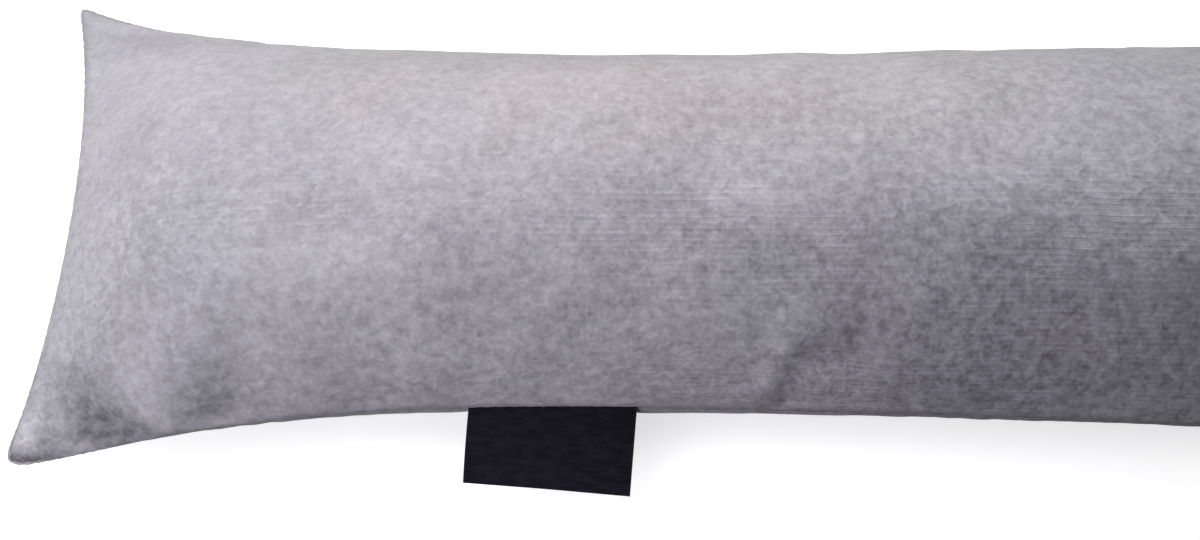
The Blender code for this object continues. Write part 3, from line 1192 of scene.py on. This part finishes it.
class Value:
    """A shader socket that takes part in Python expressions, each of which adds a Math node."""

    def __init__(self, nodes: "NodeMaker", socket: bpy.types.NodeSocket) -> None:
        """Keep the socket and the maker that adds nodes beside it."""
        self.nodes = nodes
        self.socket = socket

    def _math(self, operation: str, a: Number, b: Optional[Number] = None) -> "Value":
        """One Math node on two values."""
        values = {0: a} if b is None else {0: a, 1: b}
        return self.nodes.add("ShaderNodeMath", {"operation": operation}, values)

    def __add__(self, other: Number) -> "Value":
        """self + other."""
        return self._math("ADD", self, other)

    def __radd__(self, other: Number) -> "Value":
        """other + self."""
        return self._math("ADD", other, self)

    def __sub__(self, other: Number) -> "Value":
        """self - other."""
        return self._math("SUBTRACT", self, other)

    def __rsub__(self, other: Number) -> "Value":
        """other - self."""
        return self._math("SUBTRACT", other, self)

    def __mul__(self, other: Number) -> "Value":
        """self * other."""
        return self._math("MULTIPLY", self, other)

    def __rmul__(self, other: Number) -> "Value":
        """other * self."""
        return self._math("MULTIPLY", other, self)

    def sine(self) -> "Value":
        """Sine of the value, in radians."""
        return self._math("SINE", self)

    def at_most(self, other: Number) -> "Value":
        """The smaller of two values."""
        return self._math("MINIMUM", self, other)

    def at_least(self, other: Number) -> "Value":
        """The larger of two values."""
        return self._math("MAXIMUM", self, other)

    def size(self) -> "Value":
        """The value without its sign."""
        return self._math("ABSOLUTE", self)

    def exp(self) -> "Value":
        """e to the power of the value."""
        return self._math("EXPONENT", self)

    def within(self, low: float, high: float) -> "Value":
        """0 below low, 1 above high and a soft step between.

        Args:
            low: where the step starts.
            high: where it ends.

        Returns:
            The step.
        """
        settings = {"interpolation_type": "SMOOTHSTEP"}
        values = {"Value": self, "From Min": low, "From Max": high, "To Min": 0.0, "To Max": 1.0}
        return self.nodes.add("ShaderNodeMapRange", settings, values, "Result")


class NodeMaker:
    """Adds the nodes of one material. The Mix node's colour sockets go by number."""

    MIX_A = 6
    MIX_B = 7
    MIX_RESULT = 2

    def __init__(self, name: str) -> None:
        """Start a material with its Principled shader and output.

        Args:
            name: name of the material.
        """
        self.material = bpy.data.materials.new(name)
        self.material.use_nodes = True
        self.tree = self.material.node_tree
        self.shader = self.tree.nodes["Principled BSDF"]

    def add(
        self,
        kind: str,
        settings: Optional[dict[str, Any]] = None,
        values: Optional[dict[Any, Any]] = None,
        output: Union[str, int] = 0,
    ) -> Value:
        """Add one node.

        Args:
            kind: the node's type.
            settings: its own properties, set first; "stops" lists a ramp's places and colours.
            values: for each input, by name or number, a number, a colour, a vector or a Value.
            output: which output is wanted.

        Returns:
            That output as a Value.
        """
        node = self.tree.nodes.new(kind)
        for name, value in (settings or {}).items():
            if name == "stops":
                self._stops(node.color_ramp, value)
            else:
                setattr(node, name, value)
        for key, value in (values or {}).items():
            self.feed(node.inputs[key], value)
        return Value(self, node.outputs[output])

    @staticmethod
    def _stops(ramp: bpy.types.ColorRamp, stops: Sequence[tuple[float, tuple[float, ...]]]) -> None:
        """Set a ramp's stops.

        Args:
            ramp: the node's colour ramp.
            stops: a place and a colour for each.
        """
        while len(ramp.elements) < len(stops):
            ramp.elements.new(1.0)
        for element, (place, colour) in zip(ramp.elements, stops):
            element.position = place
            element.color = (*colour, 1.0)

    def feed(self, socket: bpy.types.NodeSocket, value: Any) -> None:
        """Link a Value to a socket, or set a plain value on it.

        Args:
            socket: an input.
            value: a Value, a number, a colour or a vector.
        """
        if isinstance(value, Value):
            self.tree.links.new(value.socket, socket)
        elif isinstance(value, tuple) and len(value) == 3 and socket.type == "RGBA":
            socket.default_value = (*value, 1.0)
        else:
            socket.default_value = value

    def principled(self, values: dict[str, Any]) -> bpy.types.Material:
        """Set the inputs of the material's shader.

        Args:
            values: for each input by name, a constant or a Value.

        Returns:
            The finished material.
        """
        for name, value in values.items():
            self.feed(self.shader.inputs[name], value)
        return self.material

    def noise(
        self, where: Value, scale: float, detail: float, roughness: float, swirl: float = 0.0
    ) -> Value:
        """Soft noise from 0 to 1 around a half.

        Args:
            where: the places.
            scale: how many lumps to a metre of those places.
            detail: how many finer layers it has.
            roughness: how strong the finer layers are.
            swirl: how much the lumps are pulled into curls.

        Returns:
            The noise.
        """
        values = {"Vector": where, "Scale": scale, "Detail": detail, "Roughness": roughness}
        values["Distortion"] = swirl
        return self.add("ShaderNodeTexNoise", {"noise_dimensions": "3D"}, values, "Fac")

    def stretched(self, where: Value, scale: tuple[float, float, float]) -> Value:
        """A vector scaled along each axis."""
        return self.add("ShaderNodeVectorMath", {"operation": "MULTIPLY"}, {0: where, 1: scale})

    def blend(self, factor: Number, a: Colour, b: Colour) -> Value:
        """Colour a at factor 0, b at factor 1."""
        values = {0: factor, self.MIX_A: a, self.MIX_B: b}
        return self.add("ShaderNodeMix", {"data_type": "RGBA"}, values, self.MIX_RESULT)

    def attribute(self, name: str, output: str = "Fac") -> Value:
        """What the mesh holds for each point under a name."""
        return self.add("ShaderNodeAttribute", {"attribute_name": name}, None, output)

    def shaded(self, colour: Colour, amount: Value) -> Value:
        """A colour multiplied by a value."""
        return self.add("ShaderNodeVectorMath", {"operation": "SCALE"}, {0: colour, "Scale": amount})


@dataclass(frozen=True)
class Velour:
    """Short-pile grey velour: nap that lies this way and that, faint knitted ribs and a soft sheen, with
    painted light and shade in its colour.
    """

    left_tint: tuple[float, float, float] = (0.305, 0.300, 0.321)
    middle_tint: tuple[float, float, float] = (0.321, 0.300, 0.316)
    right_tint: tuple[float, float, float] = (0.307, 0.302, 0.323)
    middle_at: float = 0.22
    right_at: float = 0.42
    tint_size: float = 0.110
    tint_sway: float = 0.5
    cloth_length: float = 0.91
    cloth_width: float = 0.20
    roughness: float = 0.92
    specular: float = 0.15
    sheen: float = 0.25
    sheen_roughness: float = 0.45
    nap_size: float = 0.0040
    nap_and_painted_light: float = 0.38
    nap_height: float = 0.90
    streak_size: float = 0.0068
    streak_thinness: float = 8.0
    streak_level: float = 0.35
    streak_shade: float = 0.050
    streak_height: float = 0.12
    fibre_size: float = 0.0014
    fibre_shade: float = 0.14
    fibre_height: float = 0.12
    patch_size: float = 0.024
    patch_shade: float = 0.30
    patch_height: float = 0.80
    toward_right_from: float = 0.10
    toward_right_to: float = 0.45
    right_painted_contrast_gain: float = 0.5
    front_painted_contrast: float = 2.0
    back_painted_contrast: float = 0.95
    painted_crease_shade: float = 95.0
    painted_crease_darkest: float = -0.30
    painted_crease_lightest: float = 0.20
    rib_pitch: float = 0.0021
    rib_run: float = 0.018
    rib_wobble: float = 0.055
    rib_drift: float = 9.0
    rib_near: tuple[float, float] = (0.080, 0.130)
    rib_seen: tuple[float, float] = (0.43, 0.61)
    rib_patches: tuple[float, float, float] = (9.6, 22.4, 22.4)
    rib_right_seen: float = 0.05
    rib_unseen_share: float = 0.2
    rib_left_share: float = 0.5
    rib_height: float = 0.70
    slub_shade: float = 0.13
    slub_near_shade: float = 0.19
    knit_stray: float = 1.2
    knit_double: float = 0.6
    knit_slub: float = 3.0
    knit_level: float = 0.75
    knit_shade: float = 0.012
    knit_near_shade: float = 0.056
    painted_seam_shade_width: float = 0.0022
    painted_seam_shade: float = 0.34
    bump_height: float = 0.0005

    def ribs(self, nodes: NodeMaker, where: Value, cloth: Value, across: Value, toward_right: Value) -> Value:
        """The knitted courses of the ground, which show here and there through the pile.

        Args:
            nodes: the maker of the material's nodes.
            where: places in space.
            cloth: places on the cloth.
            across: place on the cloth from the front seam.
            toward_right: 0 at the left end, 1 further to the right.

        Returns:
            How much lighter the ribs are than the rest.
        """
        drawn_out = nodes.stretched(cloth, (1.0 / self.rib_run, 1.0 / self.rib_pitch, 1.0 / self.rib_pitch))
        slub = nodes.noise(drawn_out, 1.0, detail=1.0, roughness=0.6) - 0.5
        drift = nodes.noise(where, 1.0 / self.rib_wobble, detail=1.0, roughness=0.5) * self.rib_drift
        course = across * (2.0 * math.pi / self.rib_pitch) + drift
        single = (course + slub * self.knit_stray).sine()
        double = (course * 2.0 + slub * (3.0 * self.knit_stray)).sine()
        knit = (single + double * self.knit_double) * (slub * self.knit_slub + self.knit_level).at_least(0.0)
        near = 1.0 - across.within(*self.rib_near)
        seen = nodes.noise(nodes.stretched(where, self.rib_patches), 1.0, detail=2.0, roughness=0.6)
        seen = (seen + toward_right * near * self.rib_right_seen).within(*self.rib_seen)
        rib = slub * (near * self.slub_near_shade + self.slub_shade)
        rib = rib + knit * seen * (near * self.knit_near_shade + self.knit_shade)
        rib = rib * (seen * (1.0 - self.rib_unseen_share) + self.rib_unseen_share)
        return rib * (toward_right * (1.0 - self.rib_left_share) + self.rib_left_share)

    def material(self) -> bpy.types.Material:
        """Make the finish.

        Returns:
            The finished material.
        """
        nodes = NodeMaker("velour_finish")
        where = nodes.add("ShaderNodeTexCoord", None, None, "Object")
        cloth = nodes.attribute("cloth", "Vector")
        along = nodes.add("ShaderNodeSeparateXYZ", None, {0: cloth}, "X")
        across = nodes.add("ShaderNodeSeparateXYZ", None, {0: cloth}, "Y")
        toward_right = along.within(self.toward_right_from, self.toward_right_to)

        nap = nodes.noise(where, 1.0 / self.nap_size, detail=1.0, roughness=0.6, swirl=0.3) - 0.5
        streak = nodes.noise(where, 1.0 / self.streak_size, detail=1.0, roughness=0.5, swirl=0.8) - 0.5
        streak = (1.0 - streak.size() * self.streak_thinness).at_least(0.0) - self.streak_level
        patch = nodes.noise(where, 1.0 / self.patch_size, detail=2.0, roughness=0.5) - 0.5
        tint = nodes.noise(where, 1.0 / self.tint_size, detail=1.0, roughness=0.5) - 0.5
        fibre = nodes.noise(where, 1.0 / self.fibre_size, detail=0.0, roughness=0.5) - 0.5
        rib = self.ribs(nodes, where, cloth, across, toward_right)

        # Painted shade of the pile: its random tone gets stronger contrast towards the front seam and
        # towards the right, standing for light grazing the pile there
        to_far = across.within(0.0, self.cloth_width) * (self.front_painted_contrast - self.back_painted_contrast)
        painted_graze_contrast = (1.0 + toward_right * self.right_painted_contrast_gain) * (self.front_painted_contrast - to_far)
        pile = nap * self.nap_and_painted_light + streak * self.streak_shade + fibre * self.fibre_shade
        shade = 1.0 + pile * painted_graze_contrast + patch * self.patch_shade + rib
        # Painted shade in the troughs of the creases and painted highlight on their ridges, from the
        # creases' height
        crease = nodes.attribute("crease_rise") * self.painted_crease_shade
        shade = shade + crease.at_least(self.painted_crease_darkest).at_most(self.painted_crease_lightest)
        # Painted light and shade in patches, as the mesh holds it
        shade = shade + nodes.attribute("nap_and_painted_light")
        # Painted shade along the seams: the colour darkens close to every seam line
        rim = 1.0 - (nodes.attribute("seam_distance") * (-1.0 / self.painted_seam_shade_width)).exp() * self.painted_seam_shade
        place = along * (1.0 / self.cloth_length) + tint * self.tint_sway
        stops = [(0.0, self.left_tint), (self.middle_at, self.middle_tint), (self.right_at, self.right_tint)]
        hue = nodes.add("ShaderNodeValToRGB", {"stops": stops}, {"Fac": place}, "Color")

        height = nap * self.nap_height + streak * self.streak_height + fibre * self.fibre_height
        height = height + patch * self.patch_height + rib * self.rib_height
        bumps = {"Height": height, "Strength": 1.0, "Distance": self.bump_height}
        return nodes.principled(
            {
                "Base Color": nodes.shaded(hue, shade * rim),
                "Roughness": self.roughness,
                "Sheen Weight": self.sheen,
                "Sheen Roughness": self.sheen_roughness,
                "Specular IOR Level": self.specular,
                "Normal": nodes.add("ShaderNodeBump", None, bumps, "Normal"),
            }
        )


@dataclass(frozen=True)
class LabelTape:
    """Near-black woven tape with fine satin ribs and a denser selvedge, with painted shade darkening it
    towards the seam so that its free edge is lighter.
    """

    width: float
    depth: float
    colour: tuple[float, float, float] = (0.0008, 0.0006, 0.0026)
    weave_and_painted_light: tuple[float, float, float] = (0.0115, 0.0103, 0.0185)
    roughness: float = 0.60
    roughness_sway: float = 0.2
    specular: float = 0.06
    sheen: float = 0.010
    sheen_roughness: float = 0.4
    weave_pitch: float = 0.00042
    warp_stray: float = 1.2
    warp_share: float = 0.35
    weave_shade: float = 0.15
    weave_height: float = 0.6
    slubs: tuple[float, float, float] = (168.0, 480.0, 480.0)
    slub_range: tuple[float, float] = (0.36, 0.64)
    slub_shade: float = 0.45
    slub_height: float = 0.5
    selvedge: float = 0.0011
    selvedge_shade: float = 0.20
    selvedge_height: float = 1.2
    painted_overhang_shade: float = 10.0
    bump_strength: float = 0.7
    bump_height: float = 0.00012

    def material(self) -> bpy.types.Material:
        """Make the finish.

        Returns:
            The finished material.
        """
        nodes = NodeMaker("label_tape_finish")
        cloth = nodes.attribute("cloth", "Vector")
        place = nodes.add("ShaderNodeSeparateXYZ", None, {0: cloth}, "X")
        depth = nodes.add("ShaderNodeSeparateXYZ", None, {0: cloth}, "Y")
        turn = 2.0 * math.pi / self.weave_pitch
        weft = (depth * turn).sine()
        warp = (place * turn + (depth * (0.5 * turn)).sine() * self.warp_stray).sine()
        slub = nodes.noise(nodes.stretched(cloth, self.slubs), 1.0, detail=3.0, roughness=0.7)
        edge = (place * place).within((0.5 * self.width - self.selvedge) ** 2, (0.5 * self.width) ** 2)
        raised = (weft * 0.5 + 0.5) * (warp * self.warp_share + 1.0 - self.warp_share)
        lighter = raised * self.weave_shade + slub.within(*self.slub_range) * self.slub_shade
        # Painted shade: the tape is made darker towards the seam, under the cushion's overhang, and so
        # lighter towards its free edge
        lighter = lighter + edge * self.selvedge_shade + depth * self.painted_overhang_shade
        height = raised * self.weave_height + slub * self.slub_height + edge * self.selvedge_height
        bumps = {"Height": height, "Strength": self.bump_strength, "Distance": self.bump_height}
        rough = slub * self.roughness_sway + self.roughness - 0.5 * self.roughness_sway
        return nodes.principled(
            {
                "Base Color": nodes.blend(lighter.at_most(1.0), self.colour, self.weave_and_painted_light),
                "Roughness": rough.at_most(1.0),
                "Sheen Weight": self.sheen,
                "Sheen Roughness": self.sheen_roughness,
                "Specular IOR Level": self.specular,
                "Normal": nodes.add("ShaderNodeBump", None, bumps, "Normal"),
            }
        )


@dataclass(frozen=True)
class FloorFinish:
    """The pale floor, glowing as if lit through from below so that little of the lamps' shadows shows on it,
    with a soft shadow close to the cushion painted into its glow.
    """

    colour: tuple[float, float, float] = (0.48, 0.48, 0.485)
    roughness: float = 0.9
    specular: float = 0.0
    glow: float = 0.82
    shadow_samples: int = 24
    shadow_reach: float = 0.068
    shadow_start: float = 0.62
    shadow_full: float = 0.30
    shadow_depth: float = 0.25

    def material(self) -> bpy.types.Material:
        """Make the finish.

        Returns:
            The finished material.
        """
        nodes = NodeMaker("studio_floor_finish")
        settings = {"samples": self.shadow_samples}
        # Painted shadow: the floor's glow is darkened where the cushion closes in the open sky above it
        open_sky = nodes.add("ShaderNodeAmbientOcclusion", settings, {"Distance": self.shadow_reach}, "AO")
        outside_painted_shadow = open_sky.within(self.shadow_full, self.shadow_start)
        return nodes.principled(
            {
                "Base Color": self.colour,
                "Roughness": self.roughness,
                "Specular IOR Level": self.specular,
                "Emission Color": 1.0 - self.shadow_depth + outside_painted_shadow * self.shadow_depth,
                "Emission Strength": self.glow,
            }
        )


class Lamp(NamedTuple):
    """One soft light: its place, what it points at, its spread, its power and its colour."""

    name: str
    place: tuple[float, float, float]
    aim: tuple[float, float, float]
    spread: float
    power: float
    colour: tuple[float, float, float]


@dataclass
class Studio:
    """Pale floor, soft lights and the picture's plain settings."""

    floor_radius: float = 4.0
    floor_steps: int = 96
    sky: tuple[float, float, float] = (1.0, 1.0, 1.0)
    sky_strength: float = 1.0
    lamp_size: float = 0.60
    lamps: tuple[Lamp, ...] = (
        Lamp("back_softbox", (-0.40, 1.40, 0.80), (-0.22, 0.00, 0.06), 180.0, 30.5, (1.0, 1.0, 1.0)),
        Lamp("key_softbox", (-0.55, 0.05, 0.60), (-0.38, -0.02, 0.06), 40.0, 0.67, (1.0, 1.0, 1.0)),
        Lamp("side_softbox", (-0.55, -0.35, 0.40), (-0.38, -0.02, 0.06), 75.0, 0.80, (0.97, 0.96, 1.09)),
        Lamp("end_softbox", (0.80, -0.50, 0.45), (0.38, 0.00, 0.06), 60.0, 0.45, (1.0, 1.0, 1.0)),
    )

    def build(self) -> None:
        """Make the floor, the lights and the background."""
        turns = np.linspace(0.0, 2.0 * math.pi, self.floor_steps, endpoint=False)
        rim = np.stack([np.cos(turns), np.sin(turns), np.zeros(turns.shape)], -1) * self.floor_radius
        floor = new_piece("studio_floor", rim, [range(self.floor_steps)])
        floor.data.materials.append(FloorFinish().material())
        floor.visible_diffuse = False
        for lamp in self.lamps:
            self.light(lamp)
        world = bpy.data.worlds.new("studio_world")
        bpy.context.scene.world = world
        world.use_nodes = True
        background = world.node_tree.nodes["Background"]
        background.inputs["Color"].default_value = (*self.sky, 1.0)
        background.inputs["Strength"].default_value = self.sky_strength
        world.cycles_visibility.diffuse = False
        world.cycles_visibility.glossy = False
        bpy.context.scene.view_settings.view_transform = "Standard"

    def light(self, lamp: Lamp) -> bpy.types.Object:
        """Make one square area light, pointed at its aim.

        Args:
            lamp: the light's row.

        Returns:
            The light.
        """
        data = bpy.data.lights.new(lamp.name, "AREA")
        data.shape = "SQUARE"
        data.size = self.lamp_size
        data.spread = math.radians(lamp.spread)
        data.energy = lamp.power
        data.color = lamp.colour
        thing = bpy.data.objects.new(lamp.name, data)
        heading = Vector(lamp.aim) - Vector(lamp.place)
        thing.location = lamp.place
        thing.rotation_euler = heading.to_track_quat("-Z", "Y").to_euler()
        thing.visible_camera = False
        bpy.context.scene.collection.objects.link(thing)
        return thing


@dataclass
class PhotoCamera:
    """The camera over the cushion's left half, at the photograph's angle."""

    target: tuple[float, float, float] = (-0.2266, -0.0116, 0.035)
    elevation: float = math.radians(70.0)
    focal_pixels: float = 1650.0
    metres_per_pixel: float = 0.000393
    sensor: float = 36.0

    def build(self) -> bpy.types.Object:
        """Make the camera and use it.

        Returns:
            The camera.
        """
        data = bpy.data.cameras.new("photo_camera")
        data.sensor_fit = "HORIZONTAL"
        data.sensor_width = self.sensor
        data.lens = self.focal_pixels / IMAGE_WIDTH * self.sensor
        camera = bpy.data.objects.new("photo_camera", data)
        away = Vector((0.0, -math.cos(self.elevation), math.sin(self.elevation)))
        camera.location = Vector(self.target) + away * (self.focal_pixels * self.metres_per_pixel)
        camera.rotation_euler = (-away).to_track_quat("-Z", "Y").to_euler()
        bpy.context.scene.collection.objects.link(camera)
        bpy.context.scene.camera = camera
        return camera


def main() -> None:
    """Build the camera, the two pieces and the studio, in order."""
    logging.basicConfig(level=logging.INFO, format="%(name)s: %(message)s")
    PhotoCamera().build()
    cushion = Cushion()
    cushion_piece = cushion.build()
    cushion.dress(cushion_piece)
    LOG.info("%s: %d faces", cushion_piece.name, len(cushion_piece.data.polygons))
    label = SewnLabel(cushion.outline, cushion.filling)
    label_piece = label.build()
    label.dress(label_piece, cushion_piece)
    LOG.info("%s: %d faces", label_piece.name, len(label_piece.data.polygons))
    Studio().build()


if __name__ == "__main__":
    main()
